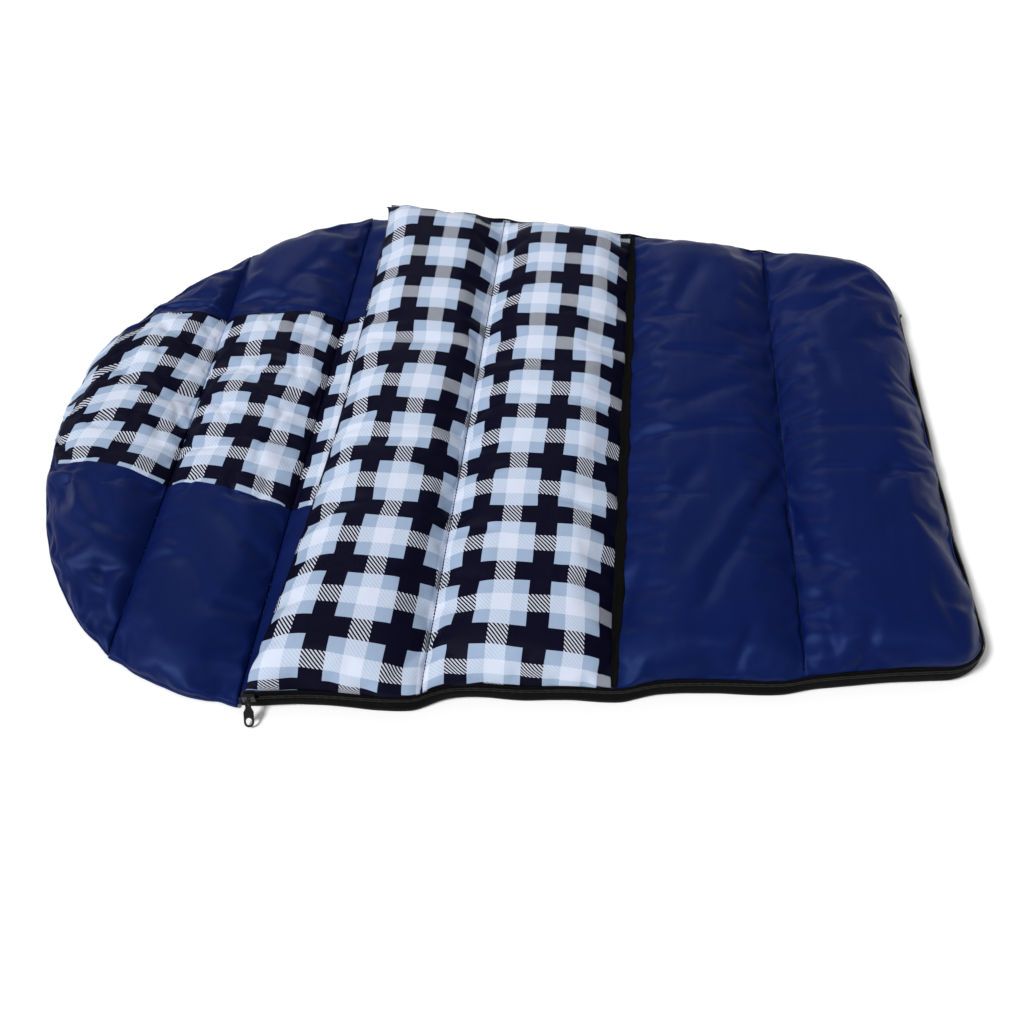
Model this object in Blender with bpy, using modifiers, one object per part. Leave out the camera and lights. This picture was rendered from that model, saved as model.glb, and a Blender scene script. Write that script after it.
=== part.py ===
"""Rectangular sleeping bag with a rounded hood, lying closed and flat on the ground.

Frame: +X towards the foot, +Y towards the folded side, -Y towards the zip, +Z up.
The origin is on the ground, under the middle of the bag. Lengths are in metres.

The bag is two quilts. The base lies on the ground and runs on past the mouth as a
hood. The cover lies on it, is hinged to it along the folded side, and is zipped to
it along the near side and the foot.
"""

import math

import bmesh
import bpy
from mathutils import Vector

# Plan
LENGTH = 1.115
MOUTH_HALF_WIDTH = 0.400
FOOT_HALF_WIDTH = 0.330
CENTRE_Y = 0.0102
TIP_X = -LENGTH / 2 + 0.0046
SEAM_A_X = -0.402
SEAM_B_X = -0.243
MOUTH_X = -0.222
SEAM_1_X = -0.045
PANEL_SEAM_X = 0.157
SEAM_2_X = 0.360
FOOT_X = LENGTH / 2 - 0.0040
HOOD_NEAR_POWER, HOOD_FAR_POWER = 2.15, 1.15
HOOD_END = 0.985
CORNER_RADIUS, FAR_CORNER_RADIUS = 0.040, 0.070
FOOT_SLANT = 0.060
NEAR_DRAW = 0.045
STRIP_NEAR, STRIP_FAR = 0.141, 0.183
STRIP_NEAR_TIP, STRIP_FAR_TIP = 0.100, 0.151
HINGE_GAP = 0.0012
SEAM_GAP = 0.0005
HOOD_AXIS_Z = 0.0078
COVER_AXIS_N, COVER_AXIS_Z = 0.0045, 0.0260
TAPER = (MOUTH_HALF_WIDTH - FOOT_HALF_WIDTH) / (FOOT_X - MOUTH_X)

# Heights
CLOTH = 0.0010
FILL_GAP = 0.0007
BASE_SEAM_Z = 0.0060
BASE_CROWN_Z = 0.0200
COVER_UNDER_Z = 0.0285
COVER_EDGE_Z = 0.0330
COVER_SEAM_Z = 0.0345
COVER_CROWN_Z = 0.0520
SIDE_ROLL = 0.055
PUFF_POWER = 0.55

# Zip, measured outwards from the edge of the quilts (n) and up (z)
ZIP_Z = 0.0215
TAPE_IN, TAPE_OUT = 0.0006, 0.0014
TAPE_GAP = 0.0016
TAPE_FOOT_Z, TAPE_HEAD_Z = 0.0030, 0.0400
COIL_RADIUS = 0.0011
COIL_N = 0.0029
COIL_END_GAP = 0.0040
SLIDER_LENGTH = 0.0140
SLIDER_HALF_HEIGHT = 0.0057
SLIDER_BACK_N, SLIDER_FRONT_N = -0.0014, 0.0060
PLATE = 0.0016
WEB_HALF = 0.0005
FLANGE = 0.0012
PIN_N = 0.0106
BAIL_WIRE = 0.0008
BAIL_HALF_SPAN = 0.0044
PULL_LENGTH = 0.0260
PULL_HALF_WIDTH = 0.0054
PULL_NECK = 0.0031
PULL_THICKNESS = 0.0013
EYE_HALF_WIDTH, EYE_HALF_LENGTH = 0.0018, 0.0024
FINGER_HALF_WIDTH, FINGER_HALF_LENGTH = 0.0035, 0.0042
PULL_DROOP = math.radians(44)

LOWER_TAPE_X = MOUTH_X - SLIDER_LENGTH - 0.0040
UPPER_TAPE_X = MOUTH_X + 0.0010
ZIP_END_Y = FOOT_HALF_WIDTH - FAR_CORNER_RADIUS - 0.0120

SIDE_FRACTIONS = (0.0, 0.35, 0.68, 0.88, 0.965, 1.0)
CHANNEL_FRACTIONS = (0.0, 0.055, 0.17, 0.34, 0.5, 0.66, 0.83, 0.945, 1.0)

NAVY = (0.018, 0.038, 0.235, 1.0)
PALE_PLAID = (0.52, 0.62, 0.74, 1.0)
WADDING = (0.85, 0.85, 0.83, 1.0)
BLACK = (0.012, 0.012, 0.014, 1.0)
METAL = (0.05, 0.05, 0.055, 1.0)


def clear_scene():
    for obj in list(bpy.data.objects):
        bpy.data.objects.remove(obj)


def material(name, colour, roughness, metallic=0.0):
    made = bpy.data.materials.new(name)
    made.use_nodes = True
    shader = made.node_tree.nodes["Principled BSDF"]
    shader.inputs["Base Color"].default_value = colour
    shader.inputs["Roughness"].default_value = roughness
    shader.inputs["Metallic"].default_value = metallic
    return made


def finish_object(bag, name, data, skin):
    obj = bpy.data.objects.new(name, data)
    bag.objects.link(obj)
    obj.data.materials.append(skin)
    return obj


# ---------------------------------------------------------------- plan and heights

def half_width(x, side=-1):
    """The middle line to the edge at x, on the near (-1) or far (1) side. The hood is lopsided."""
    if x < SEAM_B_X:
        depth = min(1.0, (SEAM_B_X - x) / (SEAM_B_X - TIP_X)) * HOOD_END
        power = HOOD_NEAR_POWER if side < 0 else HOOD_FAR_POWER
        return MOUTH_HALF_WIDTH * math.sqrt(1 - depth**power)
    return MOUTH_HALF_WIDTH - TAPER * max(0.0, x - MOUTH_X)


def rounded_half_width(x, side=-1):
    """half_width with the two foot corners rounded off."""
    radius = CORNER_RADIUS if side < 0 else FAR_CORNER_RADIUS
    into = x - (FOOT_X - radius)
    if into <= 0:
        return half_width(x, side)
    into = min(into, radius)
    return half_width(x) - radius + math.sqrt(radius**2 - into**2)


def slanted(x, y):
    """Plan coordinates with the zipped edge drawn in towards the foot, and the far side cut shorter."""
    base_x = max(x, SEAM_B_X)
    across = max(0.0, (y + half_width(base_x)) / (2 * half_width(base_x)))
    drawn = NEAR_DRAW * max(0.0, 1 - across) * (base_x - MOUTH_X) / (FOOT_X - MOUTH_X)
    back = FOOT_SLANT * across * max(0.0, min(1.0, (x - SEAM_1_X) / (FOOT_X - SEAM_1_X)))
    return x - back, y + drawn + back * TAPER * across


def channel_puff(x, seams):
    """0 on a quilting seam and 1 midway between two."""
    for low, high in zip(seams, seams[1:]):
        if low <= x <= high:
            share = (x - low) / (high - low)
            return (4 * share * (1 - share)) ** PUFF_POWER
    return 0.0


def side_puff(x, y):
    """0 on the outline and 1 from SIDE_ROLL inside it."""
    inside = rounded_half_width(x, 1 if y > 0 else -1) - abs(y)
    share = max(0.0, min(1.0, inside / SIDE_ROLL))
    return math.sin(share * math.pi / 2) ** 0.8


BASE_SEAMS = (TIP_X, SEAM_A_X, SEAM_B_X, SEAM_1_X, PANEL_SEAM_X, SEAM_2_X, FOOT_X)
COVER_SEAMS = (MOUTH_X, SEAM_1_X, PANEL_SEAM_X, SEAM_2_X, FOOT_X)


def base_top(x, y):
    puff = channel_puff(x, BASE_SEAMS) * side_puff(x, y)
    return BASE_SEAM_Z + (BASE_CROWN_Z - BASE_SEAM_Z) * puff


def cover_top(x, y):
    side = side_puff(x, y)
    low = COVER_EDGE_Z + (COVER_SEAM_Z - COVER_EDGE_Z) * side
    return low + (COVER_CROWN_Z - low) * channel_puff(x, COVER_SEAMS) * side


def flat(z):
    return lambda x, y: z


def lowered(surface, drop):
    return lambda x, y: surface(x, y) - drop


# ---------------------------------------------------------------- cloth and wadding

def stations(low, high, fractions=CHANNEL_FRACTIONS):
    return [low + (high - low) * f for f in fractions]


def strip_edge(x, side):
    """The middle line to the plaid strip's edge at x. The strip narrows over the hood."""
    mouth, tip = (STRIP_NEAR, STRIP_NEAR_TIP) if side < 0 else (STRIP_FAR, STRIP_FAR_TIP)
    depth = max(0.0, (SEAM_B_X - x) / (SEAM_B_X - TIP_X))
    return min(mouth + (tip - mouth) * depth, 0.7 * rounded_half_width(x, side))


def outer_rows(x, side):
    """Distances from the middle line, from the plaid strip's edge out to the bag's edge."""
    start, w = strip_edge(x, side), rounded_half_width(x, side)
    return [start + (w - start) * f for f in SIDE_FRACTIONS]


def whole_rows(x):
    """Lines across the whole width at x, closer together near the edges."""
    return [-y for y in reversed(outer_rows(x, -1))] + [0.0] + outer_rows(x, 1)


def inner_rows(x):
    """whole_rows without the two outermost lines, for what lies inside the seams."""
    return whole_rows(x)[1:-1]


def strip_rows(x):
    return [-strip_edge(x, -1), 0.0, strip_edge(x, 1)]


def side_rows(side):
    """Lines from the plaid strip out to the edge, on the side given by its sign."""
    def rows(x):
        outer = outer_rows(x, side)
        outer[0] += SEAM_GAP
        return sorted(side * y for y in outer)
    return rows


def quilt_slab(bag, name, xs, rows, under, over, skin):
    """A closed slab between two height fields, over a grid of lines across the bag."""
    across = len(rows(xs[0])) - 1
    along = len(xs) - 1
    mesh = bmesh.new()
    bmesh.ops.create_grid(mesh, x_segments=along, y_segments=across, size=0.5)
    made = bmesh.ops.extrude_face_region(mesh, geom=mesh.faces[:])
    upper = {item for item in made["geom"] if isinstance(item, bmesh.types.BMVert)}
    for vert in mesh.verts:
        x = xs[round((vert.co.x + 0.5) * along)]
        y = rows(x)[round((vert.co.y + 0.5) * across)]
        z = (over if vert in upper else under)(x, y)
        px, py = slanted(x, y)
        vert.co = Vector((px, py + CENTRE_Y, z))
    bmesh.ops.recalc_face_normals(mesh, faces=mesh.faces[:])
    data = bpy.data.meshes.new(name)
    mesh.to_mesh(data)
    mesh.free()
    obj = finish_object(bag, name, data, skin)
    data.shade_smooth()
    data.set_sharp_from_angle(angle=math.radians(50))
    return obj


def channels(seams, low_gap=0.0, high_gap=0.0):
    """The x stations over several channels, with each seam listed once."""
    found = [seams[0] + low_gap]
    for low, high in zip(seams, seams[1:]):
        found += stations(low, high)[1:]
    found[-1] -= high_gap
    return found


def make_fill(bag, name, low, high, under_z, top, skin):
    xs = stations(low, high)[1:-1]
    over = lowered(top, CLOTH + FILL_GAP)
    return quilt_slab(bag, name, xs, inner_rows, flat(under_z), over, skin)


def make_base_section(bag, name, seams, gaps, skins):
    """One section of the lower quilt: shell below, three lining panels above, wadding between."""
    xs = channels(seams, *gaps)
    cloth_under = lowered(base_top, CLOTH)
    shell = quilt_slab(bag, f"{name}_shell", xs, whole_rows, flat(0.0), flat(CLOTH), skins["navy"])
    pieces = [shell]
    panels = (("plaid", strip_rows, "plaid"), ("near", side_rows(-1), "navy"), ("far", side_rows(1), "navy"))
    for word, rows, skin in panels:
        node = f"{name}_lining_{word}"
        pieces.append(quilt_slab(bag, node, xs, rows, cloth_under, base_top, skins[skin]))
    for number, (low, high) in enumerate(zip(seams, seams[1:]), start=1):
        node = f"{name}_fill_{number}"
        pieces.append(make_fill(bag, node, low, high, CLOTH + FILL_GAP, base_top, skins["wadding"]))
    return pieces


def make_cover(bag, skins):
    under = lowered(cover_top, CLOTH)
    split = HINGE_GAP / 4
    plaid = channels(COVER_SEAMS[:3], high_gap=split)
    navy = channels(COVER_SEAMS[2:], low_gap=split)
    whole = channels(COVER_SEAMS)
    lining_top = flat(COVER_UNDER_Z + CLOTH)
    pieces = [
        quilt_slab(bag, "cover_panel_plaid", plaid, whole_rows, under, cover_top, skins["plaid"]),
        quilt_slab(bag, "cover_panel_navy", navy, whole_rows, under, cover_top, skins["navy"]),
        quilt_slab(bag, "cover_lining", whole, whole_rows, flat(COVER_UNDER_Z), lining_top, skins["navy"]),
    ]
    bottom = COVER_UNDER_Z + CLOTH + FILL_GAP
    for number, (low, high) in enumerate(zip(COVER_SEAMS, COVER_SEAMS[1:]), start=1):
        node = f"cover_fill_{number}"
        pieces.append(make_fill(bag, node, low, high, bottom, cover_top, skins["wadding"]))
    return pieces


# ---------------------------------------------------------------- cords and piping

def tube(bag, name, points, radius, skin, resolution=1):
    """A round cord through the points, with flat ends."""
    data = bpy.data.curves.new(name, "CURVE")
    data.dimensions = "3D"
    data.bevel_depth = radius
    data.bevel_resolution = resolution
    data.use_fill_caps = True
    spline = data.splines.new("POLY")
    spline.points.add(len(points) - 1)
    for point, place in zip(spline.points, points):
        point.co = (*place, 1.0)
    return finish_object(bag, name, data, skin)


def cross_line(x, surface, lift):
    """Points across the bag at x, resting on a surface at its own lines."""
    points = []
    for y in inner_rows(x):
        px, py = slanted(x, y)
        points.append(Vector((px, py + CENTRE_Y, surface(x, y) + lift)))
    return points


def make_threads(bag, name, seam_xs, surface, skins):
    """Lockstitch quilting threads, laid in the seam valleys."""
    radius = 0.0004
    lift = radius + 0.0008
    pieces = []
    for number, x in enumerate(seam_xs, start=1):
        node = f"{name}_quilting_thread_{number}"
        pieces.append(tube(bag, node, cross_line(x, surface, lift), radius, skins["black"], resolution=0))
    return pieces


def hood_edge(low, high, steps, outward, z, side):
    """Points along one edge of the hood between two x values, moved outwards."""
    found = []
    step = 0.001
    for i in range(steps + 1):
        x = low + (high - low) * i / steps
        slope = (half_width(x + step, side) - half_width(x - step, side)) / (2 * step)
        normal = Vector((-slope, side)).normalized()
        y = side * half_width(x, side) + CENTRE_Y
        found.append(Vector((x + normal.x * outward, y + normal.y * outward, z)))
    return found


def make_tip_binding(bag, skins):
    """The bound edge of the hood's rounded tip, in one piece from seam to seam."""
    radius, out, z = 0.0020, 0.0026, 0.0030
    near, far = (hood_edge(TIP_X + 0.006, SEAM_A_X - 0.003, 9, out, z, side) for side in (-1, 1))
    corners = [Vector((TIP_X - out, CENTRE_Y + 0.8 * side * half_width(TIP_X, side), z)) for side in (1, -1)]
    return [tube(bag, "hood_tip_binding", far[::-1] + corners + near, radius, skins["navy"])]


def make_neck_bindings(bag, skins):
    radius, out, z = 0.0020, 0.0026, 0.0030
    near, far = (hood_edge(SEAM_A_X + 0.003, SEAM_B_X - 0.020, 4, out, z, side) for side in (-1, 1))
    return [
        tube(bag, "hood_binding_near", near, radius, skins["navy"]),
        tube(bag, "hood_binding_far", far, radius, skins["navy"]),
    ]


def make_cover_trim(bag, skins):
    """The rolled hem along the mouth and the piping between the two panels."""
    hem_radius = 0.0026
    w = half_width(MOUTH_X) - 0.001
    hem_z = (COVER_UNDER_Z + COVER_EDGE_Z) / 2 + 0.0006
    hem_x = MOUTH_X - hem_radius - 0.0004
    hem = [Vector((hem_x, y + CENTRE_Y, hem_z)) for y in (-w, -w / 2, 0.0, w / 2, w)]
    piping = cross_line(PANEL_SEAM_X, cover_top, 0.0026)
    return [
        tube(bag, "mouth_hem", hem, hem_radius, skins["plaid"]),
        tube(bag, "panel_piping", piping, 0.0011, skins["black"], resolution=0),
    ]


# ---------------------------------------------------------------- zip

def zip_direction():
    start = Vector(slanted(MOUTH_X, -half_width(MOUTH_X)))
    end = Vector(slanted(FOOT_X, -half_width(FOOT_X)))
    return (end - start).normalized()


def zip_heading():
    direction = zip_direction()
    return math.atan2(direction.y, direction.x)


def edge_path(n, start_x, end_y):
    """The zip's line in plan: along the near edge, round the foot corner and along the foot."""
    corner_x = FOOT_X - CORNER_RADIUS
    start_y = -MOUTH_HALF_WIDTH + TAPER * (start_x - MOUTH_X)
    line = [(start_x, start_y, 0.0)]
    steps = 7
    for i in range(steps + 1):
        angle = math.pi / 2 * i / steps
        x = corner_x + CORNER_RADIUS * math.sin(angle)
        y = -half_width(x) + CORNER_RADIUS * (1 - math.cos(angle))
        line.append((x, y, angle))
    line.append((FOOT_X, end_y, math.pi / 2))
    path = []
    for x, y, angle in line:
        normal = Vector((TAPER * math.cos(angle) + math.sin(angle), -math.cos(angle))).normalized()
        path.append(Vector(slanted(x + normal.x * n, y + normal.y * n)))
    return path


def ribbon(bag, name, path, low_z, high_z, thickness, skin):
    """A flat upright tape along a path, its inner face on the path."""
    mesh = bmesh.new()
    verts = [mesh.verts.new((p.x, p.y + CENTRE_Y, low_z)) for p in path]
    edges = [mesh.edges.new(pair) for pair in zip(verts, verts[1:])]
    made = bmesh.ops.extrude_edge_only(mesh, edges=edges)
    for item in made["geom"]:
        if isinstance(item, bmesh.types.BMVert):
            item.co.z = high_z
    data = bpy.data.meshes.new(name)
    mesh.to_mesh(data)
    mesh.free()
    obj = finish_object(bag, name, data, skin)
    solidify = obj.modifiers.new("Thickness", "SOLIDIFY")
    solidify.thickness = thickness
    solidify.offset = -1.0
    solidify.use_even_offset = True
    return obj


def make_half_zip(bag, word, start_x, sign, skins):
    """One half of the zip: its tape, with a coil along the tape's free edge."""
    tape_z = sorted((ZIP_Z + sign * TAPE_GAP / 2, TAPE_HEAD_Z if sign > 0 else TAPE_FOOT_Z))
    path = edge_path(TAPE_IN, start_x, ZIP_END_Y)
    tape = ribbon(bag, f"zip_tape_{word}", path, *tape_z, TAPE_OUT - TAPE_IN, skins["black"])
    z = ZIP_Z + sign * (TAPE_GAP / 2 + COIL_RADIUS)
    path = edge_path(COIL_N, start_x + COIL_END_GAP, ZIP_END_Y - COIL_END_GAP)
    points = [Vector((p.x, p.y + CENTRE_Y, z)) for p in path]
    return [tape, tube(bag, f"zip_coil_{word}", points, COIL_RADIUS, skins["black"])]


def make_zip_stops(bag, skins):
    """The stop at the mouth end and the box at the foot end, both on the lower tape."""
    z = ZIP_Z - TAPE_GAP / 2 - COIL_RADIUS
    start = edge_path(COIL_N, LOWER_TAPE_X + 0.0015, ZIP_END_Y)[0]
    end = edge_path(COIL_N, LOWER_TAPE_X, ZIP_END_Y - 0.0014)[-1]
    heading = zip_heading()
    return [
        box(bag, "zip_top_stop", (start.x, start.y + CENTRE_Y, z), (0.0022, 0.0020, 0.0026), heading, skins["metal"]),
        box(bag, "zip_bottom_box", (end.x, end.y + CENTRE_Y, z), (0.0022, 0.0042, 0.0030), 0.0, skins["metal"]),
    ]


def box(bag, name, place, size, heading, skin):
    """A small block with bevelled edges, turned about the vertical."""
    mesh = bmesh.new()
    bmesh.ops.create_cube(mesh, size=1.0)
    bmesh.ops.scale(mesh, vec=size, verts=mesh.verts)
    bmesh.ops.bevel(mesh, geom=mesh.edges[:], offset=0.0003, segments=1, affect="EDGES")
    data = bpy.data.meshes.new(name)
    mesh.to_mesh(data)
    mesh.free()
    obj = finish_object(bag, name, data, skin)
    obj.location = place
    obj.rotation_euler.z = heading
    return obj


def slider_frame(bag):
    """An empty on the zip's line where the slider parks: its X runs along the zip, its -Y outwards."""
    direction = zip_direction()
    empty = bpy.data.objects.new("slider_place", None)
    bag.objects.link(empty)
    place = Vector((MOUTH_X, -MOUTH_HALF_WIDTH)) - direction * (SLIDER_LENGTH / 2)
    empty.location = (place.x, place.y + CENTRE_Y, ZIP_Z)
    empty.rotation_euler.z = zip_heading()
    return empty


def outline_prism(bag, name, outline, length, skin, parent):
    """An outline in n and z, extruded along the zip."""
    data = bpy.data.curves.new(name, "CURVE")
    data.dimensions = "2D"
    data.fill_mode = "BOTH"
    data.extrude = length / 2
    spline = data.splines.new("POLY")
    spline.points.add(len(outline) - 1)
    spline.use_cyclic_u = True
    for point, (n, z) in zip(spline.points, outline):
        point.co = (-n, z, 0.0, 1.0)
    obj = finish_object(bag, name, data, skin)
    obj.parent = parent
    obj.rotation_euler = (math.pi / 2, 0.0, math.pi / 2)
    return obj


def make_slider(bag, skins):
    frame = slider_frame(bag)
    top, front, back = SLIDER_HALF_HEIGHT, SLIDER_FRONT_N, SLIDER_BACK_N
    inner_back, inner_front = back + PLATE + 0.0001, front - PLATE
    lip = TAPE_OUT + 0.0005
    upper_half = [
        (back, top), (inner_back, top), (inner_back, WEB_HALF), (inner_front, WEB_HALF),
        (inner_front, top - FLANGE), (lip, top - FLANGE), (lip, top), (front, top),
    ]
    lower_half = [(n, -z) for n, z in reversed(upper_half)]
    outline_prism(bag, "zip_slider", upper_half + lower_half, SLIDER_LENGTH, skins["metal"], frame)

    span, foot_n, corner = BAIL_HALF_SPAN, SLIDER_FRONT_N + 0.0003, 0.0012
    arch = [(foot_n, span), (PIN_N - corner, span), (PIN_N, span - corner)]
    arch += [(n, -z) for n, z in reversed(arch)]
    points = [Vector((0.0, -n, z)) for n, z in arch]
    bail = tube(bag, "slider_bail", points, BAIL_WIRE, skins["metal"])
    bail.parent = frame
    make_pull(bag, skins, frame)


def oval(half_width, half_length, centre, steps=12):
    turns = [2 * math.pi * i / steps for i in range(steps)]
    return [(half_width * math.cos(a), centre + half_length * math.sin(a)) for a in turns]


def make_pull(bag, skins, frame):
    """The pull tab: a flat tongue with an eye round the bail at one end and a finger hole."""
    hinge = bpy.data.objects.new("pull_hinge", None)
    bag.objects.link(hinge)
    hinge.parent = frame
    hinge.location = (0.0, -PIN_N, 0.0)
    hinge.rotation_euler.x = PULL_DROOP
    data = bpy.data.curves.new("pull_tab", "CURVE")
    data.dimensions = "2D"
    data.fill_mode = "BOTH"
    data.extrude = PULL_THICKNESS / 2
    near, half, neck = EYE_HALF_LENGTH + 0.0011, PULL_HALF_WIDTH, PULL_NECK
    centre = -PULL_LENGTH + half
    turns = [math.pi * i / 10 for i in range(11)]
    body = [(neck, near), (-neck, near), (-neck, -0.0050), (-half, -0.0095)]
    body += [(-half * math.cos(a), centre - half * math.sin(a)) for a in turns]
    body += [(half, -0.0095), (neck, -0.0050)]
    eye = oval(EYE_HALF_WIDTH * 1.08, EYE_HALF_LENGTH * 1.04, 0.0, steps=8)
    finger_hole = oval(FINGER_HALF_WIDTH, FINGER_HALF_LENGTH, centre + 0.0008)
    for outline in (body, eye, finger_hole):
        spline = data.splines.new("POLY")
        spline.points.add(len(outline) - 1)
        spline.use_cyclic_u = True
        for point, (s, along) in zip(spline.points, outline):
            point.co = (s, along, 0.0, 1.0)
    tab = finish_object(bag, "pull_tab", data, skins["metal"])
    tab.parent = hinge
    return tab


# ---------------------------------------------------------------- folded side

def make_gusset(bag, skins):
    """The folded side: a strip of shell cloth that bulges from the base's edge to the cover's."""
    low_z, high_z, bulge, steps = 0.0016, 0.0385, 0.0085, 8
    mesh = bmesh.new()
    start_x, end_x = MOUTH_X + 0.002, FOOT_X - FOOT_SLANT - FAR_CORNER_RADIUS - 0.004
    start, end = (Vector((x, half_width(x))) for x in (start_x, end_x))
    direction = (end - start).normalized()
    normal = Vector((-direction.y, direction.x))
    rows = []
    for i in range(steps + 1):
        share = i / steps
        out = TAPE_IN + bulge * math.sin(math.pi * share) ** 0.6
        z = low_z + (high_z - low_z) * share
        ends = [p + normal * out for p in (start, end)]
        rows.append([mesh.verts.new((p.x, p.y + CENTRE_Y, z)) for p in ends])
    for (a, b), (c, d) in zip(rows, rows[1:]):
        mesh.faces.new((a, b, d, c))
    data = bpy.data.meshes.new("side_gusset")
    mesh.to_mesh(data)
    mesh.free()
    obj = finish_object(bag, "side_gusset", data, skins["navy"])
    solidify = obj.modifiers.new("Thickness", "SOLIDIFY")
    solidify.thickness = CLOTH
    solidify.offset = -1.0
    return obj


def hang(bag, name, place, heading, pieces):
    """An empty on a joint's axis, carrying the pieces that turn on it. Its X lies along the axis."""
    empty = bpy.data.objects.new(name, None)
    bag.objects.link(empty)
    empty.location = place
    empty.rotation_euler.z = heading
    bpy.context.view_layer.update()
    for piece in pieces:
        piece.parent = empty
        piece.matrix_parent_inverse = empty.matrix_world.inverted()
    return empty


def main():
    clear_scene()
    bag = bpy.data.collections.new("sleeping_bag")
    bpy.context.scene.collection.children.link(bag)
    skins = {
        "navy": material("navy_shell", NAVY, 0.42),
        "plaid": material("plaid_cloth", PALE_PLAID, 0.5),
        "wadding": material("wadding", WADDING, 0.9),
        "black": material("black_tape", BLACK, 0.7),
        "metal": material("blackened_metal", METAL, 0.35, 0.9),
    }
    half_gap = HINGE_GAP / 2

    make_base_section(bag, "base", BASE_SEAMS[2:], (half_gap, 0.0), skins)
    make_threads(bag, "base", BASE_SEAMS[3:-1], base_top, skins)
    make_gusset(bag, skins)
    make_half_zip(bag, "lower", LOWER_TAPE_X, -1, skins)
    make_zip_stops(bag, skins)
    make_slider(bag, skins)

    tip = make_base_section(bag, "hood_tip", BASE_SEAMS[:2], (0.0, half_gap), skins)
    tip += make_tip_binding(bag, skins)
    neck = make_base_section(bag, "hood", BASE_SEAMS[1:3], (half_gap, half_gap), skins)
    neck += make_neck_bindings(bag, skins)
    across = math.pi / 2
    hood = hang(bag, "hood_hinge", (SEAM_B_X, CENTRE_Y, HOOD_AXIS_Z), across, neck)
    tip_hinge = hang(bag, "hood_tip_hinge", (SEAM_A_X, CENTRE_Y, HOOD_AXIS_Z), across, tip)
    tip_hinge.parent = hood
    tip_hinge.matrix_parent_inverse = hood.matrix_world.inverted()

    cover = make_cover(bag, skins) + make_cover_trim(bag, skins)
    cover += make_threads(bag, "cover", (SEAM_1_X, SEAM_2_X), cover_top, skins)
    cover += make_half_zip(bag, "upper", UPPER_TAPE_X, 1, skins)
    heading = -math.atan(TAPER)
    y = MOUTH_HALF_WIDTH + CENTRE_Y + COVER_AXIS_N / math.cos(heading)
    hang(bag, "cover_hinge", (MOUTH_X, y, COVER_AXIS_Z), heading, cover)


main()
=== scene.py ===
"""Looks of the quilted sleeping bag: puffed and wrinkled channels, plaid and satin cloth, zip and seams.

Row frame: +X towards the foot, -Y towards the zip, +Z up, in metres.
"""

import math

import bmesh
import bpy
from mathutils import Matrix, Vector, noise


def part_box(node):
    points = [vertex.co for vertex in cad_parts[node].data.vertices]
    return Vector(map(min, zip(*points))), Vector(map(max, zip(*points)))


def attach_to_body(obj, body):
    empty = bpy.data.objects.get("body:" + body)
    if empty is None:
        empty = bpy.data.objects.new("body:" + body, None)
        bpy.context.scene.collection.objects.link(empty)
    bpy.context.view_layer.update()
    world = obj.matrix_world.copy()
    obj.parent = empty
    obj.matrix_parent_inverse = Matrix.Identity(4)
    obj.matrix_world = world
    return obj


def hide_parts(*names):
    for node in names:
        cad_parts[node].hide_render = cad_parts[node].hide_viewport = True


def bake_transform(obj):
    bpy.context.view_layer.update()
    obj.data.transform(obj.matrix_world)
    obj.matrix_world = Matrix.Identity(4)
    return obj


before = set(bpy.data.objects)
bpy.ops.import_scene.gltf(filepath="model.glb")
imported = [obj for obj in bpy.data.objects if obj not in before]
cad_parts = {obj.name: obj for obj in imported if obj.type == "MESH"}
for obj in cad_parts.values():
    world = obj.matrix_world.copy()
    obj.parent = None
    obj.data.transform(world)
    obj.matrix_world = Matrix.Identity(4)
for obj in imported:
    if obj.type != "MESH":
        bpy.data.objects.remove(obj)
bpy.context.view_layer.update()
SCENE = bpy.context.scene


# ---------------------------------------------------------------- places, from the frame

def middle(node, axis):
    low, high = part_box(node)
    return (low[axis] + high[axis]) / 2


TIP_BULGE = 0.010
PIPING_RADIUS, THREAD_RADIUS = 0.0010, 0.0004

BASE_LOW, BASE_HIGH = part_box("base_shell")
CENTRE_Y = (BASE_LOW[1] + BASE_HIGH[1]) / 2
MOUTH_HALF = (BASE_HIGH[1] - BASE_LOW[1]) / 2
HINGE_GAP = BASE_LOW[0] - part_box("hood_shell")[1][0]
SEAM_B_X = BASE_LOW[0] - HINGE_GAP / 2
SEAM_A_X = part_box("hood_tip_shell")[1][0] + HINGE_GAP / 2
TIP_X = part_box("hood_tip_shell")[0][0] - TIP_BULGE
MOUTH_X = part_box("cover_lining")[0][0]
SEAM_1_X = middle("cover_quilting_thread_1", 0)
PANEL_SEAM_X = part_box("panel_piping")[1][0] - PIPING_RADIUS
SEAM_2_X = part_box("base_quilting_thread_3")[1][0] - THREAD_RADIUS
FOOT_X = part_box("cover_lining")[1][0]
BODY_LENGTH = FOOT_X - MOUTH_X

# The body's plan: how far each side closes in by the foot, how far the zipped side is drawn in besides, how
# much shorter the far side is, and how far the zipped foot corner stands out.
TAPER = 0.070 / BODY_LENGTH
NEAR_DRAW = 0.045
FOOT_SLANT = 0.060
CORNER_POUT, POUT_LENGTH = 0.007, 0.12
CORNER_RADIUS, FAR_CORNER_RADIUS = 0.040, 0.070

# The hood's plan: a fuller curve on the near side than on the far side, ended short of its point, with a
# shallow bulge across that end.
NEAR_POWER, FAR_POWER = 2.15, 1.15
TIP_SHARE = 0.985
TIP_ROUND = 0.006

# The plaid strip on the lining: its edges at the hood's seam and at the tip, its width as flat cloth, the
# most of each side that it may cover, and the share of the way across that its stations take up.
STRIP_NEAR, STRIP_FAR = -0.141, 0.183
STRIP_TIP_NEAR, STRIP_TIP_FAR = -0.100, 0.151
STRIP_CUT = STRIP_FAR - STRIP_NEAR
STRIP_MOST = 0.75
STRIP_SHARE = 0.45

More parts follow.
